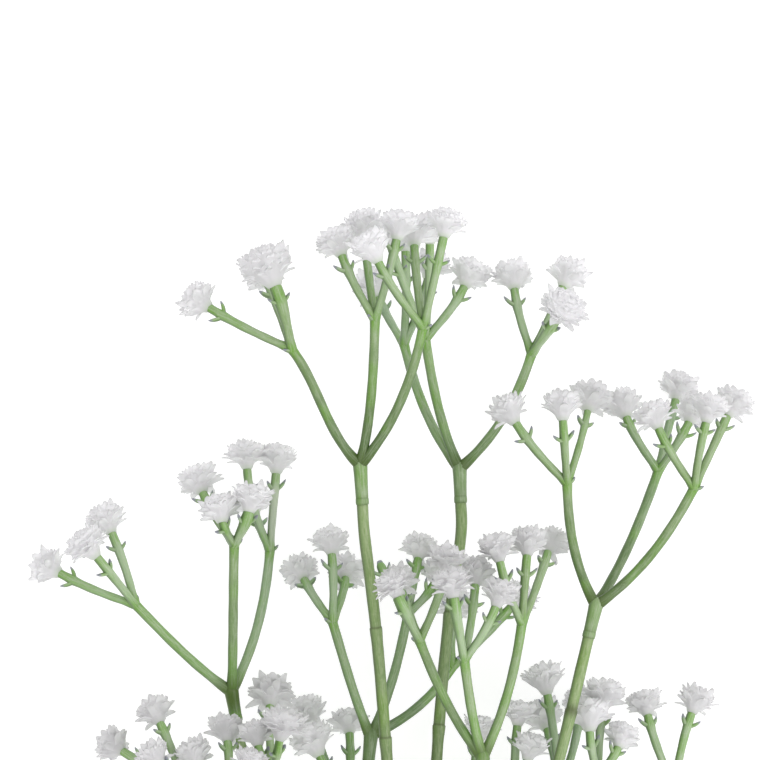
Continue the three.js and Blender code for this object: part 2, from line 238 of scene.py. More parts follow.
greenWearAndPaintedLight = {
    "fibreStretch": (1.0, 1.0, 0.12),
    "speckScale": 14,  # times the mottle's
    "patchScale": 0.6,
    "low": 0.6,  # how strongly each of these shows
    "patch": 0.5,
    "clear": 0.8,
    "fibre": 0.24,
    "speck": 0.12,
    "topHighlight": 0.38,
    "seam": 0.75,
    "bump": 0.6,
    "relief": 0.00004,
    "specular": 0.4,
    "depth": 0.12,  # how much light passes through, and how far in metres
    "lightReach": (0.0010, 0.0014, 0.0005),
}
stemLook = {
    "deep": (101, 125, 74),
    "plain": (131, 157, 98),
    "fresh": (156, 180, 120),
    "vivid": (112, 150, 52),  # patches and creases of clearer green
    "pale": (188, 199, 160),  # flecks, fibres, and the painted highlight along the side that faces up
    "low": (108, 132, 90),  # painted shade: the greyer green of what lies low over the table
    "edge": (74, 90, 54),  # painted shade along each piece's two sides, dark at its edges seen from above
    # painted shade of crotches, creases, grooves and bores, and the stain of stained knots
    "creaseShadeAndStain": (58, 60, 26),
    "tip": (128, 136, 136),
    "roughness": 0.33,
    "fibre": 5.0,
    "mottle": 90.0,
}
sprayLook = {
    "deep": (91, 118, 64),
    "plain": (138, 166, 109),
    "fresh": (164, 190, 145),
    "vivid": (112, 164, 48),
    "pale": (193, 203, 180),
    # painted shade: the greyer green of what lies low over the table
    "low": (104, 136, 108),
    # painted shade along each piece's two sides
    "edge": (80, 102, 64),
    # painted shade of crotches, creases, grooves and sleeves
    "creaseShadeAndStain": (72, 94, 26),
    "tip": (146, 148, 158),
    "roughness": 0.34,
    "fibre": 4.0,
    "mottle": 120.0,
}


def greenFinish(name, look):
    finish = Finish(name)
    wearAndLight = greenWearAndPaintedLight
    grain = finish.mark("grain", "Vector")
    position = finish.node("TexCoord", output="Object")
    height = finish.part(position, "Z") / float(cadHigh.z)
    fibres = finish.noise(finish.stretched(grain, wearAndLight["fibreStretch"]), look["fibre"], 3.0, 0.6)
    mottle = finish.noise(position, look["mottle"], 3.0)
    speck = finish.noise(position, look["mottle"] * wearAndLight["speckScale"], 1.0)
    patch = finish.noise(position, look["mottle"] * wearAndLight["patchScale"], 2.0).above(0.5, 0.66)
    age = finish.mark("fresh") + 0.5 * (mottle - 0.5)

    colour = finish.mix(age.above(-0.1, 0.5), look["deep"], look["plain"])
    colour = finish.mix(age.above(0.4, 1.1), colour, look["fresh"])
    colour = finish.mix(age.above(1.1, 1.8), colour, look["pale"])
    # painted shade: what lies low over the table turns to the greyer low green
    colour = finish.mix((0.5 - height).above(0.0, 0.5) * wearAndLight["low"], colour, look["low"])
    shade = finish.mark("shade")
    colour = finish.mix(patch * wearAndLight["patch"], colour, look["vivid"])
    colour = finish.mix((0.0 - shade).above(0.0, 0.8) * wearAndLight["clear"], colour, look["vivid"])
    # painted highlight: the side of each piece that faces up turns paler, along with worn fibres and flecks
    topHighlight = finish.part(grain, "X").above(0.7, 1.0)
    wornAndHighlight = fibres.above(0.5, 0.7) * wearAndLight["fibre"] + wearAndLight["speck"] * speck.above(0.5, 0.7)
    wornAndHighlight = wornAndHighlight + wearAndLight["topHighlight"] * topHighlight * fibres.above(0.35, 0.55)
    wornAndHighlight = wornAndHighlight * (0.55 + 0.45 * age.above(0.0, 0.8))
    colour = finish.mix(wornAndHighlight, colour, look["pale"])
    # painted shade along the two sides of each piece, dark at its edges seen from above
    seam = finish.part(grain, "Y")
    colour = finish.mix((seam * seam).above(0.4, 1.0) * wearAndLight["seam"], colour, look["edge"])
    # painted shade in crotches, creases, grooves and bores, and the stain of stained knots
    colour = finish.mix(shade.above(0.0, 0.9) * (0.7 + 0.3 * mottle), colour, look["creaseShadeAndStain"])
    colour = finish.mix(finish.mark("tip").above(0.3, 0.9), colour, look["tip"])
    rough = look["roughness"] + 0.16 * (fibres - 0.5) + 0.08 * (speck - 0.5)
    relief = 0.7 * fibres + 0.2 * mottle + 0.1 * speck
    return finish.surface(
        baseColor=colour,
        roughness=rough,
        normal=finish.bump(wearAndLight["bump"], wearAndLight["relief"], relief),
        specularIorLevel=wearAndLight["specular"],
        subsurfaceWeight=wearAndLight["depth"],
        subsurfaceRadius=wearAndLight["lightReach"],
        subsurfaceScale=1.0,
    )


# White plastic of the blooms. reach runs from a petal's root to its tip, neck marks the bloom's foot, and a
# third mark sets how much painted shade greys the bloom where it lies deep among the others.

petalLook = {
    "litHeart": (228, 225, 228),  # faint lilac, painted lighter low between the petals to offset their shade
    "white": (223, 222, 224),
    "tip": (190, 190, 191),
    "grey": (192, 191, 192),
    "neck": (204, 214, 196),
    "roughness": 0.6,
    "depth": 0.6,  # how much light passes through, and how far in metres
    "lightReach": (0.0016, 0.0016, 0.0016),
    "mottle": 260.0,
    "speckScale": 10,  # times the mottle's
    "neckShare": 0.8,  # how strongly the neck's colour and the painted shade's grey show
    "shadeShare": 0.8,
    "relief": 0.00006,
    "bump": 0.5,
}


def petalFinish():
    look = petalLook
    finish = Finish("petal white")
    finish.shader.subsurface_method = "BURLEY"
    position = finish.node("TexCoord", output="Object")
    reach = finish.mark("reach")
    cloud = finish.noise(position, look["mottle"], 2.0)
    speck = finish.noise(position, look["mottle"] * look["speckScale"], 1.0)
    # painted light: the roots, low between the petals, are lighter to offset the shade there
    colour = finish.mix(reach.above(0.1, 0.6), look["litHeart"], look["white"])
    colour = finish.mix(reach.above(0.72, 1.0) * (0.3 + 0.7 * cloud), colour, look["tip"])
    colour = finish.mix(finish.mark("neck") * look["neckShare"], colour, look["neck"])
    # painted shade: blooms lying deeper among the others are greyed
    colour = finish.mix(finish.mark("dim") * look["shadeShare"], colour, look["grey"])
    return finish.surface(
        baseColor=colour,
        roughness=look["roughness"] + 0.2 * (cloud - 0.5),
        normal=finish.bump(look["bump"], look["relief"], 0.7 * cloud + 0.3 * speck),
        subsurfaceWeight=look["depth"],
        subsurfaceRadius=look["lightReach"],
        subsurfaceScale=1.0,
    )


# Drawn steel of the wire, streaked along its length

wireLook = {
    "dark": (128, 131, 134),
    "bright": (168, 170, 172),
    "streaks": 6000.0,
    "stretch": (1.0, 0.02, 1.0),
    "roughness": 0.3,
}


def wireFinish():
    finish = Finish("stem wire steel")
    position = finish.node("TexCoord", output="Object")
    drawn = finish.noise(finish.stretched(position, wireLook["stretch"]), wireLook["streaks"], 2.0)
    colour = finish.mix(drawn, wireLook["dark"], wireLook["bright"])
    return finish.surface(baseColor=colour, metallic=1.0, roughness=wireLook["roughness"] + 0.2 * drawn)


# Curves and the shapes swept along them

grainLength = 2.0  # of one step of the grain
sharpAngle = 42  # degrees between two faces that keep an edge


def unit(vector):
    return vector / np.linalg.norm(vector)


def squareTo(direction, axis):
    return direction - axis * direction.dot(axis)


def smooth(share):
    share = np.clip(share, 0, 1)
    return share * share * (3 - 2 * share)


def hump(offset, width):
    return math.exp(-((offset / width) ** 2))


def bezier(corners, count=90):
    t = np.linspace(0, 1, count)[:, None]
    n = len(corners) - 1
    return sum(math.comb(n, k) * t**k * (1 - t) ** (n - k) * corner for k, corner in enumerate(corners))


def spline(knots, perSpan=60):
    # a smooth line through its points, without loops where they lie close
    ends = [2 * knots[0] - knots[1], *knots, 2 * knots[-1] - knots[-2]]
    t = np.linspace(0, 1, perSpan, endpoint=False)[:, None]
    line = []
    for before, start, end, after in zip(ends, ends[1:], ends[2:], ends[3:]):
        pairs = (before, start), (start, end), (end, after)
        a, b, c = (math.sqrt(np.linalg.norm(q - p)) for p, q in pairs)
        leave = ((start - before) / a - (end - before) / (a + b) + (end - start) / b) * b
        arrive = ((end - start) / b - (after - start) / (b + c) + (after - end) / c) * b
        line.append(
            start * (2 * t**3 - 3 * t**2 + 1) + leave * (t**3 - 2 * t**2 + t)
            + end * (3 * t**2 - 2 * t**3) + arrive * (t**3 - t**2)
        )
    return np.vstack([*line, knots[-1]])


class Route:
    # A line with square directions carried along it without twisting.
    def __init__(self, points, across=(0.3, 0.1, 1.0)):
        self.points = np.array(points, float)
        if len(self.points) == 2:
            start, end = self.points
            self.points = start + np.linspace(0, 1, 5)[:, None] * (end - start)
        steps = np.linalg.norm(np.diff(self.points, axis=0), axis=1)
        self.marks = np.concatenate([[0], np.cumsum(steps)])
        self.length = self.marks[-1]
        self.along = np.gradient(self.points, self.marks, axis=0)
        self.across = np.empty_like(self.along)
        across = np.array(across, float)
        for i, along in enumerate(self.along):
            self.along[i] = unit(along)
            across = unit(squareTo(across, self.along[i]))
            self.across[i] = across

    def at(self, distances):
        distances = np.atleast_1d(np.array(distances, float))
        inside = np.clip(distances, 0, self.length)

        def read(table):
            return np.stack([np.interp(inside, self.marks, table[:, k]) for k in range(3)], axis=1)

        along = read(self.along)
        along /= np.linalg.norm(along, axis=1)[:, None]
        across = read(self.across)
        across -= along * np.sum(across * along, axis=1)[:, None]
        across /= np.linalg.norm(across, axis=1)[:, None]
        centre = read(self.points) + along * (distances - inside)[:, None]
        return centre, along, across, np.cross(along, across)


class Shape:
    # Corners, faces and surface marks of one piece, gathered part by part.
    def __init__(self):
        self.points, self.faces, self.marks, self.count = [], [], {}, 0

    def add(self, points, faces, **marks):
        self.points.append(points)
        self.faces.extend(tuple(corner + self.count for corner in face) for face in faces)
        for name, values in marks.items():
            self.marks.setdefault(name, []).append(values)
        self.count += len(points)


def ringFaces(rings, sides):
    faces = [tuple(reversed(range(sides))), tuple(range((rings - 1) * sides, rings * sides))]
    for r in range(rings - 1):
        for s in range(sides):
            here, beside = r * sides + s, r * sides + (s + 1) % sides
            faces.append((here, beside, beside + sides, here + sides))
    return faces


def sweep(shape, route, profile, sides=14, flat=1.0, ribs=0, ribDepth=0.0, tip=None, fresh=(0.0, 0.0)):
    # profile rows are distance, radius and, if given, how dark the painted shade (on stained knots the
    # stain) is there, or below zero how clear the green is
    rows = [(*row, 0.0)[:3] for row in profile]
    distances, radii, shade = np.array(rows, float).T
    centre, _, across, beside = route.at(distances)
    turn = 2 * math.pi * np.arange(sides) / sides
    ring = radii[:, None] * (1 + ribDepth * np.cos(ribs * turn))[None, :]
    points = (
        centre[:, None]
        + across[:, None] * (ring * np.cos(turn))[..., None]
        + beside[:, None] * (ring * np.sin(turn) * flat)[..., None]
    )
    count = len(distances)
    lengthwise = np.repeat(distances / grainLength + centre[0].sum(), sides)
    grain = [np.tile(np.cos(turn), count), np.tile(np.sin(turn), count), lengthwise]
    share = distances / distances.max()
    tips = np.zeros(count) if tip is None else smooth((share - tip) / (1 - tip))
    shape.add(
        points.reshape(-1, 3),
        ringFaces(count, sides),
        grain=np.stack(grain, axis=1),
        shade=np.repeat(shade, sides),
        tip=np.repeat(tips, sides),
        fresh=np.repeat(np.interp(share, (0, 1), fresh), sides),
    )


def makePiece(name, shape, finish, node):
    points = np.clip(np.concatenate(shape.points) * millimetre, cadLow, cadHigh)
    mesh = bpy.data.meshes.new(name)
    mesh.from_pydata(points.tolist(), [], shape.faces)
    for mark, parts in shape.marks.items():
        values = np.concatenate(parts).astype(np.float32)
        kind, field = ("FLOAT_VECTOR", "vector") if values.ndim == 2 else ("FLOAT", "value")
        mesh.attributes.new(mark, kind, "POINT").data.foreach_set(field, values.ravel())
    working = bmesh.new()
    working.from_mesh(mesh)
    bmesh.ops.recalc_face_normals(working, faces=working.faces)
    working.to_mesh(mesh)
    working.free()
    mesh.shade_smooth()
    mesh.set_sharp_from_angle(angle=math.radians(sharpAngle))
    mesh.materials.append(finish)
    piece = addObject(name, mesh)
    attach(piece, "root")
    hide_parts(node)


# The layout: chosen points, x across the stem, y along it towards the blooms, z above the table

stem = {
    "route": [(7, -300, 2.4), (4, -240, 5), (5.2, -180, 10.5), (7.6, -142, 16), (9, -109.3, 22.6)],
    "radius": 2.8,
    "wireRadius": 0.7,
    "wireSpan": (0.002, 0.86),  # where the wire starts and ends, as shares of the stem's length
    "gap": 0.3,  # between pieces that fit together
    "skirtGap": 0.02,  # between a socket's skirt and the piece it closes over
    "knotSpacing": 47.0,
    "knotSwell": 0.26,
    "waver": 0.03,
    "step": 1.6,
}
branchWork = {
    "stalkRadius": 2.3,
    "stalkTaper": 0.12,
    "stalkWaver": 0.04,
    "radius": 1.75,
    "knotRadius": 1.98,
    "knotLength": 5.0,
    "knotSpacing": 34.0,
    "knotStep": 0.4,
    "pegRadius": 1.05,
    "stalkPegRadius": 1.5,
    "pegLength": 6.5,
    "waver": 0.03,
    "step": 1.3,
}

# A fork's socket runs from its boss, on the stem, to its seat, and its branches part at its node. A branch
# has the points between there and its sleeve, and how fresh its green is at either end. It may also say
# how far its first knot is from its tip, and how dark its knots are stained.
forks = {
    "fork_left": {
        "boss": (7.6, -142, 16),
        "seat": (2.75, -129.6, 18.5),
        "node": (-12, -92, 26),
        "branches": {
            "spray_left": {"route": [(-27, -42, 27), (-37, -6, 27)], "tones": (0.0, 0.25)},
            "spray_centre_left": {"route": [(-7, -45, 27)], "tones": (0.0, 0.2)},
            "spray_low_left": {"route": [(-29, -60, 35)], "tones": (0.1, 0.3)},
        },
    },
    "fork_middle": {
        "boss": (8.7, -118, 20.8),
        "seat": (9, -109, 22.7),
        "node": (10.5, -84, 29),
        "branches": {
            "spray_top_left": {
                "route": [(5, -42, 40), (2.1, 0, 47), (-1.5, 42, 56)],
                "tones": (-0.35, 0.55), "firstKnot": 38,
            },
            "spray_top_right": {
                "route": [(15, -42, 35), (17.1, 0, 35), (20.1, 36, 34)],
                "tones": (-0.45, 0.4),
            },
            "spray_low_centre": {"route": [], "tones": (0.1, 0.2)},
        },
    },
    "fork_right": {
        "boss": (8.4, -130, 18),
        "seat": (13.6, -117.9, 20.9),
        "node": (30, -80, 30),
        "branches": {
            "spray_right": {
                "route": [(42, -40, 41), (53.7, 0, 48)],
                "tones": (-0.15, 0.6), "firstKnot": 22.7, "stain": 0.6,
            },
            "spray_front": {"route": [(30, -45, 43)], "tones": (0.4, 0.6)},
            "spray_low_right": {"route": [], "tones": (0.2, 0.3)},
        },
    },
}

sprayWork = {
    "rimRadius": 1.95,
    "crownRadius": 2.3,
    "armRadius": 1.45,
    "armSpread": 0.75,
    "armRecovery": 0.5,
    "armReach": 0.35,  # how long it keeps the directions of its ends
    "armFlare": (0.3, 8),  # how much thicker it is at its foot, and over what length
    "forkSwell": (0.14, 4),  # the same at its fork
    "armWaver": 0.03,
    "pedicelRadius": 1.2,
    "pedicelBend": 0.42,  # how far along it is bent
    "pedicelFlare": (0.32, 4.5),
    "pedicelWaver": 0.035,
    "bractSwell": (0.16, 1.6),
    "bractPlace": 0.78,
    "bractSpread": 2.1,
    "bractRise": 2.4,
    "scale": [(0.0, 1.1), (0.2, 1.1), (0.4, 1.06), (0.58, 0.98), (0.74, 0.82), (0.87, 0.58),
              (0.96, 0.32), (1.0, 0.1)],  # shares of its length, and its half widths there
    "step": 1.0,
}
plainBloom = {
    "size": 1.0,
    "open": 1.0,
    "stout": 1.0,  # how thick its pedicel is, and how much paler
    "paler": 0.0,
    "bow": 4,  # how far the pedicel bows outwards, and up from the table
    "lift": 7.0,
    "bare": False,  # whether it has lost its bloom
}

# sleeve says how fresh a sleeve's green is and how much painted shade darkens it towards the crown or,
# below zero, how clear it is. tones say how fresh each arm is at its foot and at its fork, and the blooms'
# entry how much painted shade greys them. Each arm has its fork, how far it bows (or how far at its foot
# and at its fork) and the middles of its three blooms, with what sets any of them apart from the plain one.
sprays = {
    "spray_top_left": {
        "seat": (-5.3, 77.4, 60.8), "crown": (-6, 89.4, 62),
        "sleeve": (0.3, -1.1), "blooms": {"dim": 0.0},
        "tones": [(-0.05, 0.3), (-0.35, 0.5), (-0.15, 0.35)],
        "arms": [
            [(-27, 124, 72), (0.9, -0.7), [
                (-55, 138, 64, {"dim": 0.3}),
                (-33.8, 148.5, 78, {"size": 1.35, "stout": 1.45, "dim": 0.4, "open": 1.15}),
                (-35, 146, 54),
            ]],
            [(-1.5, 133, 76), 1, [(-13, 155.5, 72), (-5, 160.5, 63), (6, 161, 80)]],
            [(13, 130.5, 80), 1, [(-3, 154.2, 88, {"size": 1.05}), (10, 158.5, 69), (20, 161.5, 79)]],
        ],
    },
    "spray_top_right": {
        "seat": (24.3, 77.6, 32), "crown": (24, 88, 32),
        "sleeve": (0.3, -0.3), "blooms": {"dim": 0.05},
        "tones": [(0.25, 0.85), (0.0, 0.7), (0.05, 0.8)],
        "arms": [
            [(7, 126, 21), 1, [(-2.5, 143.5, 5.3, {"lift": 0}), (15.5, 149.5, 25), (7.5, 158.5, 32)]],
            [(13.5, 127.5, 34), 1, [(27.5, 146.5, 34), (15, 160.5, 47), (1.5, 159.5, 48)]],
            [(46, 123, 38), 1, [
                (40, 146, 34),
                (55.5, 136.5, 54, {"size": 1.15, "bow": 1, "lift": 3, "stout": 1.25, "open": 1.2}),
                (57, 146.5, 34),
            ]],
        ],
    },
    "spray_right": {
        "seat": (62.7, 37.2, 46), "crown": (65, 47, 46),
        "sleeve": (0.3, -0.8), "blooms": {"dim": 0.4},
        "tones": [(0.0, 0.35), (-0.1, 0.35), (-0.05, 0.3)],
        "arms": [
            [(56.2, 84, 44), 1, [(38, 105.5, 48), (54.5, 107.3, 53), (63.5, 109, 32, {"stout": 0.8})]],
            [(84.5, 87.5, 24), 1, [(73, 107, 24), (91.3, 112.5, 5.3, {"lift": 0}), (95.5, 105, 22)]],
            [(94.8, 82.5, 46), 1, [(81.6, 104.4, 52), (99, 106.5, 54), (106.5, 107.5, 40)]],
        ],
    },
    "spray_left": {
        "seat": (-43.5, 11.5, 28), "crown": (-45, 20.7, 30),
        "sleeve": (-0.3, 0.7), "blooms": {"dim": 0.2},
        "tones": [(0.55, 0.8), (0.05, 0.5), (0.5, 1.1)],
        "arms": [
            [(-74.5, 47, 34), 0.3,
             [(-101, 58, 30), (-89, 65.7, 48, {"size": 1.1, "open": 1.2}), (-83, 72.3, 32)]],
            [(-43.8, 65.7, 47), 0, [
                (-55, 84.3, 42),
                (-48, 76.2, 54, {"open": 1.2}),
                (-38, 79.5, 57, {"stout": 1.35, "open": 1.2}),
            ]],
            [(-33.3, 63.5, 22), 1,
             [(-31, 91, 26, {"paler": 0.6}), (-40.5, 92.5, 30, {"bow": 10}), (-39, 78, 5.3, {"lift": 0})]],
        ],
    },
    "spray_centre_left": {
        "seat": (-3.6, -2.2, 28), "crown": (-2.7, 7.2, 28),
        "sleeve": (0.1, 0.0), "blooms": {"dim": 0.35, "size": 0.92},
        "tones": [(0.4, 0.7), (0.15, 0.6), (0.05, 0.45)],
        "arms": [
            [(-14.7, 42, 30), 0.2,
             [(-24.6, 56.5, 18, {"open": 1.2}), (-15, 65.7, 28), (-10.2, 56.6, 16, {"open": 1.2})]],
            [(8.7, 44.5, 22), 1, [(12.3, 64, 20), (18.3, 56, 22), (-1.5, 63.5, 24, {"bare": True})]],
            [(22.5, 28, 20), 1, [(23.4, 46.5, 20), (43, 49.2, 24), (22.5, 58, 7, {"lift": 0})]],
        ],
    },
    "spray_front": {
        "seat": (31.2, -7.5, 57), "crown": (30.6, 1.8, 60),
        "sleeve": (0.25, 0.0), "blooms": {"dim": 0.8, "size": 0.92},
        "tones": [(0.05, 0.4), (0.35, 0.65), (0.4, 0.5)],
        "arms": [
            [(11.4, 37.2, 62), 0.7,
             [(3.3, 54, 76, {"stout": 1.35, "open": 1.3}), (5.2, 53.8, 50), (20, 61, 64, {"open": 1.2})]],
            [(25, 31.5, 67), 1, [
                (21, 54.6, 78, {"size": 1, "stout": 1.25, "open": 1.35}),
                (28.8, 56.5, 56),
                (36, 51, 72, {"open": 1.2}),
            ]],
            [(42.6, 42, 54), 1, [(34.8, 64.5, 62), (44.4, 66, 54, {"paler": -0.4}), (51.6, 65.4, 35)]],
        ],
    },
    "spray_low_right": {
        "seat": (61.5, -34.5, 27), "crown": (67.8, -27, 26),
        "sleeve": (0.2, 0.0), "blooms": {"dim": 0.35, "size": 0.92},
        "tones": [(0.3, 0.75), (0.5, 0.85), (0.1, 0.5)],
        "arms": [
            [(54, -9, 18), 1,
             [(49.5, 24.6, 26, {"size": 1.05}), (49.5, 12.3, 12, {"size": 1.05}), (61, 16, 8)]],
            [(66, -4.5, 32), 1,
             [(67.5, 19.5, 30, {"size": 1.08}), (63, 14, 38, {"size": 1.1}), (73.3, 7.2, 36)]],
            [(89.7, -9, 26), 1,
             [(80, 17, 26, {"dim": 0.7}), (95.7, 17.7, 28, {"dim": 0.7}), (101, -8, 10)]],
        ],
    },
    "spray_low_left": {
        "seat": (-41.5, -34.5, 43), "crown": (-47.5, -27, 44),
        "sleeve": (0.2, 0.0), "blooms": {"dim": 0.8, "size": 0.92},
        "tones": [(0.2, 0.4), (0.2, 0.4), (0.2, 0.3)],
        "arms": [
            [(-60, -4.5, 44), 1, [(-68, 14.7, 42), (-80.7, 4.2, 36), (-68.4, 1.8, 54)]],
            [(-45.6, -9, 46), 1, [(-56, 2.4, 50), (-46.2, 9.3, 42), (-38.4, 1, 60)]],
            [(-31.5, -4.5, 40), 1, [
                (-33, 19.8, 26, {"size": 1.06, "open": 1.25}),
                (-28.5, 12.6, 57, {"size": 1.15, "open": 1.2}),
                (-37.2, 8.7, 50),
            ]],
        ],
    },
    "spray_low_centre": {
        "seat": (11.5, -50, 28), "crown": (12, -40, 26),
        "sleeve": (0.2, 0.0), "blooms": {"dim": 0.3, "size": 0.92},
        "tones": [(0.1, 0.3), (0.1, 0.3), (0.3, 0.6)],
        "arms": [
            [(-10.5, -15, 17), 1,
             [(-9.6, 10.8, 12), (-21, 6, 26, {"size": 1.15}), (-23, 13.5, 13, {"size": 1.08})]],
            [(27, -22, 15), 1, [(30.6, 9.6, 24), (22, -11, 24), (38, -10, 8)]],
            [(42, -20, 24), 1, [(42, 14.5, 30), (45.6, 4.2, 36), (54, -8, 32)]],
        ],
    },
}


# Blooms: a pleated cup that opens from the pedicel's end, and whorls of toothed petals round it

bloomForm = {
    "middle": 5.6,  # height of the bloom's middle above its foot
    "openness": (0.88, 1.12),
    "squat": (0.84, 1.0),  # how flat it may be above its neck, and how high the neck is
    "neck": 2.0,
    "cup": [(-0.35, 1.15), (0.0, 1.4), (0.4, 1.75), (1.0, 2.0), (1.7, 2.3), (2.4, 2.8), (3.1, 3.5),
            (3.9, 4.2), (4.7, 4.8), (5.5, 5.05), (6.3, 4.9), (7.1, 4.3), (7.8, 3.4), (8.3, 2.3),
            (8.6, 1.1), (8.7, 0.3)],
    "cupSides": 44,
    "pleats": (11, 7),
    "pleatDepth": 0.028,
}
# root is how far out and up a petal starts, angles are from the bloom's axis at its root and tip, wild is
# how many degrees it may stray from them, and rootShare is how wide its root is for its width
whorlKeys = ("petals", "root", "angles", "length", "width", "rootShare", "teeth", "cut", "wild", "rows")
whorls = [dict(zip(whorlKeys, row)) for row in [
    (6, (2.1, 2.1), (52, 84), 5.0, 2.4, 0.95, 1, 0.36, 22, 6),
    (9, (2.9, 2.9), (42, 72), 4.5, 2.8, 0.9, 2, 0.4, 18, 6),
    (10, (3.8, 4.0), (26, 58), 4.0, 3.0, 0.9, 2, 0.42, 16, 5),
    (10, (4.3, 5.2), (8, 40), 3.8, 3.0, 0.9, 2, 0.42, 15, 5),
    (8, (4.0, 6.4), (-16, 22), 3.1, 2.8, 0.9, 2, 0.42, 14, 5),
    (6, (2.9, 7.4), (-28, 12), 2.4, 2.6, 0.9, 2, 0.42, 12, 4),
    (4, (1.5, 8.15), (-40, 0), 1.7, 2.0, 0.9, 2, 0.4, 12, 4),
]]
petalForm = {
    "columns": 7,
    "thickness": (0.46, 0.3),  # at its root and at its tip
    "hollow": 0.05,  # across it, and how much it folds behind its teeth
    "fold": 0.05,
    "spikeShare": 0.16,  # how many petals are long and narrow
    "pointedShare": 0.4,  # how many others have one point
    "spikeLength": (1.1, 1.3),
    "length": (0.84, 1.06),
    "spikeWidth": 0.9,
    "width": (0.88, 1.1),
    "droopShare": 0.25,  # how many of the lowest petals droop
    "droop": (10, 26),  # degrees
    "notch": (0.7, 1.2),  # how deep it is between two teeth
    "ragged": (-0.04, 0.08),
    "pointPower": 2.2,  # how blunt a single point is
    "narrowing": 0.32,  # how much the petal narrows to it
    "curl": 1.3,
    "twist": 10,  # degrees
    "sway": 0.3,
    "turn": 5,  # degrees
}


def leafFaces(rows, columns):
    # a closed leaf: the inner face's grid, the outer face's, and the rim between them
    back = rows * columns
    faces = []
    for r in range(rows - 1):
        for c in range(columns - 1):
            a = r * columns + c
            quad = (a, a + 1, a + columns + 1, a + columns)
            faces += [quad, tuple(corner + back for corner in reversed(quad))]
    last = columns - 1
    edge = list(range(last))
    edge += [r * columns + last for r in range(rows - 1)]
    edge += [(rows - 1) * columns + c for c in range(last, 0, -1)]
    edge += [r * columns for r in range(rows - 1, 0, -1)]
    for start, end in zip(edge, edge[1:] + edge[:1]):
        faces.append((end, start, start + back, end + back))
    return faces


def addPetal(shape, seat, whorl, azimuth, dim, chance):
    form, rows = petalForm, whorl["rows"]
    spike = chance.random() < form["spikeShare"]
    teeth = 1 if spike or chance.random() < form["pointedShare"] else whorl["teeth"]
    stray = chance.gauss(0, whorl["wild"] / 2)
    droops = whorl["teeth"] == 1 and chance.random() < form["droopShare"]
    droop = chance.uniform(*form["droop"]) if droops else 0
    length = whorl["length"] * chance.uniform(*form["spikeLength" if spike else "length"])
    fine = np.linspace(0, 1, 16)
    rootAngle, tipAngle = whorl["angles"]
    lean = np.radians(rootAngle + stray + (tipAngle - rootAngle + droop) * fine ** form["curl"])
    step = length / (len(fine) - 1)
    outward = whorl["root"][0] + np.concatenate([[0], np.cumsum(np.sin(lean[1:]) * step)])
    upward = whorl["root"][1] + np.concatenate([[0], np.cumsum(np.cos(lean[1:]) * step)])

    side = np.linspace(-1, 1, form["columns"])
    wave = np.cos(math.pi * teeth * (side + 1))
    if teeth == 1:
        cut = whorl["cut"] * np.abs(side) ** form["pointPower"]
    else:
        cut = whorl["cut"] * (0.5 + 0.5 * wave) * chance.uniform(*form["notch"])
        cut += 0.12 * side**2
    cut = cut + np.array([chance.uniform(*form["ragged"]) for _ in side])
    row = np.linspace(0, 1, rows)[:, None]
    share = row * (1 - np.clip(cut, 0, 0.6)[None, :] * row**2)
    angle, radius, height = (np.interp(share, fine, line) for line in (lean, outward, upward))

    widening = np.sin(np.minimum(share / 0.7, 1) * math.pi / 2)
    spread = whorl["rootShare"] + (1 - whorl["rootShare"]) * widening
    if teeth == 1:
        spread = spread * (1 - form["narrowing"] * np.clip((share - 0.45) / 0.55, 0, 1))
    half = whorl["width"] / 2 * (form["spikeWidth"] if spike else chance.uniform(*form["width"]))
    across = side[None, :] * half * spread
    lift = form["hollow"] * across**2 + form["fold"] * wave[None, :] * share
    twist = math.radians(chance.gauss(0, form["twist"])) * share
    cosine, sine = np.cos(twist), np.sin(twist)
    across, lift = across * cosine - lift * sine, across * sine + lift * cosine
    across = across + chance.gauss(0, form["sway"]) * share**2

    thick, thin = form["thickness"]
    depth = (thick + (thin - thick) * share) / 2
    turn = azimuth + math.radians(chance.gauss(0, form["turn"]))
    out = np.array([math.cos(turn), math.sin(turn), 0.0])
    beside = np.array([-math.sin(turn), math.cos(turn), 0.0])
    up = np.array([0.0, 0.0, 1.0])
    sheets = []
    for offset in (lift + depth, lift - depth):
        r = radius - np.cos(angle) * offset
        h = height + np.sin(angle) * offset
        sheets.append(r[..., None] * out + across[..., None] * beside + h[..., None] * up)
    points = np.concatenate([sheet.reshape(-1, 3) for sheet in sheets])
    reach = np.tile(share.reshape(-1), 2)
    still = np.zeros(len(points))
    faces = leafFaces(rows, form["columns"])
    shape.add(seat(points), faces, reach=0.4 + 0.6 * reach, neck=still, dim=still + dim)


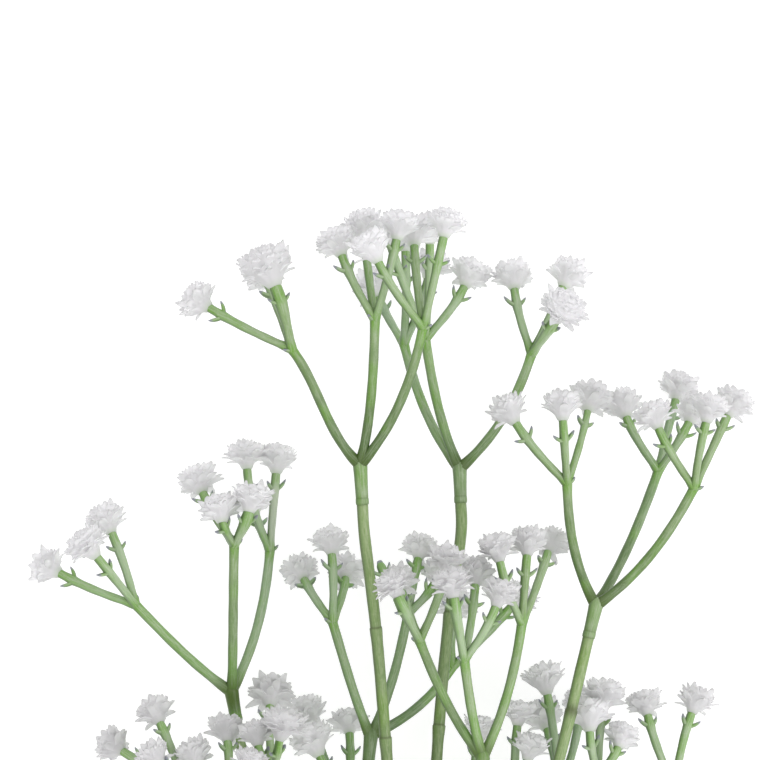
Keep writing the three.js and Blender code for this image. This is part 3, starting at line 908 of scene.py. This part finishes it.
def addBloom(shape, route, bloom, chance):
    form, size, dim = bloomForm, bloom["size"], bloom["dim"]
    foot, along, across, beside = (row[0] for row in route.at(route.length))
    chance = random.Random(chance.random())
    turned = chance.uniform(0, 2 * math.pi)
    openness = bloom["open"] * chance.uniform(*form["openness"])
    squat = chance.uniform(*form["squat"])
    full = max(size, 1.0)

    def seat(points):
        local = points * size
        local[:, 2] -= (1 - squat) * np.maximum(local[:, 2] - form["neck"], 0)
        return foot + local[:, :1] * across + local[:, 1:2] * beside + local[:, 2:] * along

    sides = form["cupSides"]
    heights, radii = np.array(form["cup"]).T
    turn = 2 * math.pi * np.arange(sides) / sides
    phases = [count * turn + chance.uniform(0, 2 * math.pi) for count in form["pleats"]]
    pleats = sum(np.cos(phase) for phase in phases)
    depth = form["pleatDepth"] * smooth(heights / 2.5)
    ring = radii[:, None] * (1 + depth[:, None] * pleats[None, :])
    ring = ring * (1 + (full**0.4 - 1) * smooth(heights / 3)[:, None])
    level = np.repeat(heights, sides)
    points = np.stack([(ring * np.cos(turn)).ravel(), (ring * np.sin(turn)).ravel(), level], axis=1)
    # the cup takes some of the roots' painted lightening, less towards its rim and in its pleats' hollows
    hollow = np.tile(pleats * -0.1, len(heights))
    shape.add(
        seat(points),
        ringFaces(len(heights), sides),
        reach=0.3 * smooth(level / 5) + 0.3 + hollow,
        neck=1 - smooth((level + 0.2) / 1.9),
        dim=np.full(len(points), dim),
    )
    # a large bloom has more petals, not longer ones
    for number, whorl in enumerate(whorls):
        count = round(whorl["petals"] * full**1.6)
        fitted = {
            **whorl,
            "angles": [angle * openness for angle in whorl["angles"]],
            "root": (whorl["root"][0] * full**0.4, whorl["root"][1] * full**0.2),
            "length": whorl["length"] / full**0.9,
            "width": whorl["width"] / full**0.8,
            "wild": whorl["wild"] / full,
        }
        for k in range(count):
            azimuth = turned + 2 * math.pi * (k + 0.5 * (number % 2)) / count
            addPetal(shape, seat, fitted, azimuth, dim, chance)


# Sprays: a sleeve, its arms, and on each arm three pedicels with their scales

def armCurve(crown, fork, axis, bow):
    work = sprayWork
    chord = fork - crown
    reach = work["armReach"] * np.linalg.norm(chord)
    chord = unit(chord)
    outward = squareTo(chord, axis)
    root = crown + outward * 2 * (work["crownRadius"] - work["armRadius"])
    lean, turn = bow if isinstance(bow, tuple) else (bow, bow)
    start = unit(chord + outward * work["armSpread"] * lean)
    end = unit(chord - outward * work["armRecovery"] * turn)
    return bezier([root, root + start * reach, fork - end * reach, fork]), end


def pedicelCurve(fork, armEnd, middle, bloom):
    root = fork - armEnd
    chord = middle - root
    outward = squareTo(unit(chord), armEnd)
    rise = np.array([0, 0, bloom["lift"]])
    bend = root + chord * sprayWork["pedicelBend"] + outward * bloom["bow"] + rise
    facing = unit(middle - bend)
    return bezier([root, bend, middle - facing * bloomForm["middle"] * bloom["size"]])


def addScale(shape, surface, outward, along, length, rise, width=0.9):
    # a short pointed scale that curves up from the surface
    foot = surface - outward * 0.8 - along * 0.5
    tip = surface + outward * length + along * rise
    bend = surface + outward * length * 0.5 + along * rise * 0.2
    route = Route(bezier([foot, bend, tip], 24), across=np.cross(along, outward))
    profile = [(share * route.length, wide * width) for share, wide in sprayWork["scale"]]
    sweep(shape, route, profile, sides=10, flat=0.6, tip=0.3, fresh=(0.8, 0.8))


def addPedicel(shape, route, bloom, tone, chance):
    # slim in the middle and thicker above its scales
    work, stout, bare = sprayWork, bloom["stout"], bloom["bare"]
    plain = work["pedicelRadius"] * (1 + 0.35 * (stout - 1))
    full = work["pedicelRadius"] * 1.1 * stout
    end = route.length + (0.0 if bare else 0.35)
    bractAt = (work["bractPlace"] + chance.uniform(-0.07, 0.1)) * route.length
    phase = chance.uniform(0, 2 * math.pi)
    flare, flareLength = work["pedicelFlare"]
    swell, swellLength = work["bractSwell"]
    rows = []
    for distance in np.arange(0, end - 0.9, work["step"]):
        radius = plain + (full - plain) * smooth((distance - 0.3 * end) / (0.5 * end))
        radius += flare * (1 - smooth(distance / flareLength))
        radius += swell * hump(distance - bractAt, swellLength)
        radius += work["pedicelWaver"] * math.sin(distance * 0.9 + phase)
        clear = 0.8 * (1 - smooth(distance / 6.0)) + 0.6 * smooth((distance - end + 7) / 5)
        rows.append((distance, radius, -clear))
    last = 0.8 * plain if bare else full
    rows += [(end - 0.7, last, -0.6), (end - 0.3, last * 0.97, -0.6)]
    rows += [(end - 0.05, last * 0.8), (end, last * 0.5)]
    tip = 0.9 if bare else None
    young = tone + chance.uniform(-0.1, 0.15)
    sweep(shape, route, rows, sides=14, ribs=4, ribDepth=0.02, tip=tip, fresh=(young + 0.1, young + 0.4))
    centre, along, _, beside = route.at(bractAt)
    for side in (1, -1):
        outward = beside[0] * side
        length = work["bractSpread"] * chance.uniform(0.7, 1.25)
        rise = work["bractRise"] * chance.uniform(0.6, 1.3)
        addScale(shape, centre[0] + outward * plain, outward, along[0], length, rise)


def socketRows(peg, neighbour, skirtLength):
    # the hole that a peg stands in, and the skirt that closes over the peg's own piece
    bore, skirt = peg + stem["gap"], neighbour + stem["skirtGap"]
    return [
        (branchWork["pegLength"] + 1, bore * 0.98, 1.0),
        (0.2, bore, 1.0),
        (0.0, bore + 0.1, 1.0),
        (0.0, skirt, 1.0),
        (-skirtLength, skirt, 0.9),
    ]


def makeSleeve(shape, seat, crown, tone, crownShade):
    route = Route([seat, crown])
    length = route.length
    rim, top = sprayWork["rimRadius"], sprayWork["crownRadius"]
    # the third numbers paint shade into the groove below the rim and up towards the crown, where the arms
    # part
    rows = [
        *socketRows(branchWork["pegRadius"], branchWork["radius"], 0.6),
        (-0.66, rim - 0.1, 0.7), (-0.5, rim, 0.4),
        (0.2, rim + 0.06, 0.1), (1.0, rim + 0.02, 0.15),
        (1.4, rim - 0.06, 0.45), (1.8, rim - 0.04, 0.25),
        (4.0, rim, 0.25 + 0.4 * crownShade), (length * 0.7, rim + 0.12, 0.3 + 0.7 * crownShade),
        (length - 1.0, top - 0.1, 0.35 + 0.6 * crownShade), (length + 0.2, top - 0.16, 0.4 + 0.5 * crownShade),
        (length + 1.2, top - 0.7, 0.4 + 0.5 * crownShade), (length + 1.8, 0.5, 0.5 + 0.5 * crownShade),
    ]
    sweep(shape, route, rows, sides=20, ribs=5, ribDepth=0.012, fresh=(tone, tone))


def makeArm(shape, curve, tones, chance):
    work = sprayWork
    plain = work["armRadius"]
    route = Route(curve)
    end = route.length
    phase = chance.uniform(0, 2 * math.pi)
    flare, flareLength = work["armFlare"]
    swell, swellLength = work["forkSwell"]
    rows = [(-2.2, 0.9), (-1.8, 1.6, 0.5)]
    for distance in np.arange(-1.2, end - 0.4, work["step"]):
        radius = plain + flare * (1 - smooth((distance + 1) / flareLength))
        radius += swell * smooth((distance - end + swellLength) / swellLength)
        radius += work["armWaver"] * math.sin(distance * 0.6 + phase)
        clear = 0.8 * smooth((distance - end + 8) / 8)
        # painted shade at the arm's foot, where it leaves the crown among the others, and clear green
        # towards its fork
        rows.append((distance, radius, 0.7 * (1 - smooth((distance + 1) / 10)) - clear))
    rows += [(end, plain * 1.06, -0.7), (end + 0.7, plain * 0.92, -0.3)]
    rows += [(end + 1.3, plain * 0.6, 0.3), (end + 1.6, plain * 0.15, 0.3)]
    sweep(shape, route, rows, sides=16, ribs=5, ribDepth=0.016, fresh=tones)
    return route


def makeSpray(name, layout, chance):
    greens, blooms = Shape(), Shape()
    seat, crown = place(layout["seat"]), place(layout["crown"])
    axis = unit(crown - seat)
    makeSleeve(greens, seat, crown, *layout["sleeve"])
    for (fork, armBow, ends), tones in zip(layout["arms"], layout["tones"]):
        fork = place(fork)
        curve, armEnd = armCurve(crown, fork, axis, armBow)
        arm = makeArm(greens, curve, tones, chance)
        centre, along, across, beside = arm.at(arm.length - 0.6)
        outward = unit(beside[0] * chance.choice((-1, 1)) + across[0] * 0.4)
        stub = centre[0] + outward * sprayWork["armRadius"]
        addScale(greens, stub, outward, along[0], 1.0, 1.5, width=0.85)
        for end in ends:
            bloom = {**plainBloom, **layout["blooms"], **(end[3] if len(end) > 3 else {})}
            route = Route(pedicelCurve(fork, armEnd, place(end), bloom))
            addPedicel(greens, route, bloom, tones[1] + bloom["paler"], chance)
            if not bloom["bare"]:
                addBloom(blooms, route, bloom, chance)
    makePiece(name + "_greens", greens, sprayGreen, name)
    makePiece(name + "_blooms", blooms, petalWhite, name)
    print("spray", name, "corners", greens.count, "+", blooms.count)


# Branches, forks and the stem

def branchRadii(length, firstKnot, stain, chance):
    work = branchWork
    plain, step = work["radius"], work["knotStep"]
    knots = np.arange(length - firstKnot, 3 * work["knotLength"], -work["knotSpacing"])
    distances = set(np.arange(0.0, length - 0.5, work["step"]))
    for knot in knots:
        distances = {d for d in distances if not knot - 0.5 < d < knot + 1.2}
        distances |= {knot - 0.4, knot - 0.1, knot + 0.1, knot + step, knot + 0.8}
    phase = chance.uniform(0, 2 * math.pi)
    rows = []
    for distance in sorted(distances):
        radius = plain + work["waver"] * math.sin(distance * 0.4 + phase)
        shade = 0.0
        for knot in knots:
            if knot - work["knotLength"] < distance <= knot + 0.05:
                swell = smooth((distance - knot + work["knotLength"]) / work["knotLength"])
                radius += (work["knotRadius"] - plain) * swell
            elif knot < distance < knot + step:
                radius += (work["knotRadius"] - plain) * 0.7
            shade = max(shade, 0.5 * hump(distance - knot - step, 0.45))
            shade = max(shade, stain * hump(distance - knot + 0.2, 2.4))
        rows.append((distance, radius, shade))
    return rows


def makeBranch(shape, node, sprayName, branch, chance):
    layout = sprays[sprayName]
    seat, crown = place(layout["seat"]), place(layout["crown"])
    axis = unit(crown - seat)
    shoulder = seat - axis * stem["gap"]
    between = [place(point) for point in branch["route"]]
    line = Route(spline([node, *between, shoulder - axis * 8, shoulder]))
    plain, peg = branchWork["radius"], branchWork["pegRadius"]
    end = line.length
    pegEnd = end + branchWork["pegLength"]
    firstKnot = branch.get("firstKnot", branchWork["knotSpacing"])
    rows = branchRadii(end, firstKnot, branch.get("stain", 0.0), chance)
    rows += [(end - 0.35, plain, 0.2), (end - 0.1, plain - 0.08, 0.6), (end, plain - 0.3, 0.9)]
    rows += [(end, peg, 1.0), (pegEnd - 0.3, peg, 1.0), (pegEnd, peg * 0.8, 1.0)]
    sweep(shape, line, rows, sides=18, ribs=5, ribDepth=0.014, fresh=branch["tones"])


def makeFork(name, layout, chance):
    shape = Shape()
    node = place(layout["node"])
    stalk = Route([place(layout["seat"]), node])
    work, gap = branchWork, stem["gap"]
    plain, peg, long = work["stalkRadius"], work["stalkPegRadius"], stalk.length
    pegEnd = -work["pegLength"]
    rows = [(pegEnd, peg * 0.8, 1.0), (pegEnd + 0.3, peg, 1.0), (gap, peg, 1.0)]
    rows += [(gap, plain - 0.3, 0.9), (gap + 0.1, plain - 0.08, 0.6), (gap + 0.4, plain)]
    for distance in np.arange(2.0, long - 3.0, work["step"]):
        radius = plain + work["stalkWaver"] * math.sin(distance * 0.5)
        rows.append((distance, radius - work["stalkTaper"] * smooth(distance / long)))
    rows += [(long - 2, plain + 0.1), (long, plain + 0.28, 0.1), (long + 1.3, plain, 0.4)]
    rows += [(long + 2.0, plain * 0.7, 0.6), (long + 2.3, plain * 0.2, 0.6)]
    sweep(shape, stalk, rows, sides=20, ribs=5, ribDepth=0.014, fresh=(0.1, 0.2))
    for sprayName, branch in layout["branches"].items():
        makeBranch(shape, node, sprayName, branch, chance)
    makePiece(name + "_branches", shape, stemGreen, name)
    print("fork", name, "corners", shape.count)


def stemLine():
    return Route(spline([place(point) for point in stem["route"]]))


def makeStem():
    shape = Shape()
    line = stemLine()
    plain, bore = stem["radius"], stem["wireRadius"] + stem["gap"]
    end = line.length
    rows = [(8.0, bore * 0.95, 1.0), (0.1, bore, 1.0), (0.0, bore + 0.1, 0.9), (0.0, plain - 0.2, 0.3)]
    rows += [(0.12, plain - 0.04), (0.4, plain)]
    knots = np.arange(stem["knotSpacing"], end - 60, stem["knotSpacing"])
    distances = set(np.arange(stem["step"], end - 2, stem["step"]))
    for knot in knots:
        distances = {d for d in distances if not knot - 0.6 < d < knot + 1.4}
        distances |= {knot - 0.5, knot, knot + 0.3, knot + 0.8}
    for distance in sorted(distances):
        near = min(abs(distance - knot) for knot in knots)
        rising = (stem["knotSwell"] * hump(distance - knot, 2.6) for knot in knots if distance <= knot)
        radius = plain - 0.04 + max(rising, default=0) + stem["waver"] * math.sin(distance * 0.23)
        rows.append((distance, radius, 0.8 * hump(near, 0.4)))
    rows += [(end - 1.0, plain), (end - 0.2, plain * 0.9)]
    rows += [(end + 0.1, plain * 0.6), (end + 0.2, plain * 0.1)]
    sweep(shape, line, rows, sides=24, ribs=6, ribDepth=0.016, fresh=(0.0, 0.2))
    for layout in forks.values():
        makeBoss(shape, layout)
    makePiece("main_stem_skin", shape, stemGreen, "main_stem")
    print("main stem corners", shape.count)


def makeBoss(shape, layout):
    # the socket that a fork's stalk stands in, with a rim round its mouth
    route = Route([place(layout["seat"]), place(layout["boss"])])
    plain, long = stem["radius"], route.length
    rows = [
        *socketRows(branchWork["stalkPegRadius"], branchWork["stalkRadius"], 0.8),
        (-0.86, plain - 0.25, 0.7), (-0.7, plain - 0.05, 0.3), (0.25, plain),
        (1.1, plain), (1.4, plain - 0.2, 0.7), (1.7, plain - 0.22, 0.7),
        (2.1, plain - 0.1, 0.1), (long * 0.6, plain - 0.1), (long, plain, 0.2),
        (long + 1.0, plain * 0.7, 0.2), (long + 1.4, plain * 0.2, 0.2),
    ]
    sweep(shape, route, rows, sides=20, ribs=5, ribDepth=0.012, fresh=(0.2, 0.2))


def makeWire():
    line = stemLine()
    start, end = (share * line.length for share in stem["wireSpan"])
    radius = stem["wireRadius"]
    shape = Shape()
    rows = [(start, radius * 0.85), (start + 0.12, radius)]
    rows += [(distance, radius) for distance in np.linspace(start + 2, end - 1, 60)]
    rows += [(end - 0.12, radius), (end, radius * 0.85)]
    sweep(shape, line, rows, sides=14)
    makePiece("stem_wire_drawn", shape, wireSteel, "stem_wire")
    print("wire corners", shape.count)


makeStudio()
stemGreen = greenFinish("stem green", stemLook)
sprayGreen = greenFinish("spray green", sprayLook)
petalWhite = petalFinish()
wireSteel = wireFinish()
print("studio and finishes")

makeStem()
makeWire()
for number, (name, layout) in enumerate(forks.items()):
    makeFork(name, layout, random.Random(100 + number))
for number, (name, layout) in enumerate(sprays.items()):
    makeSpray(name, layout, random.Random(200 + number))
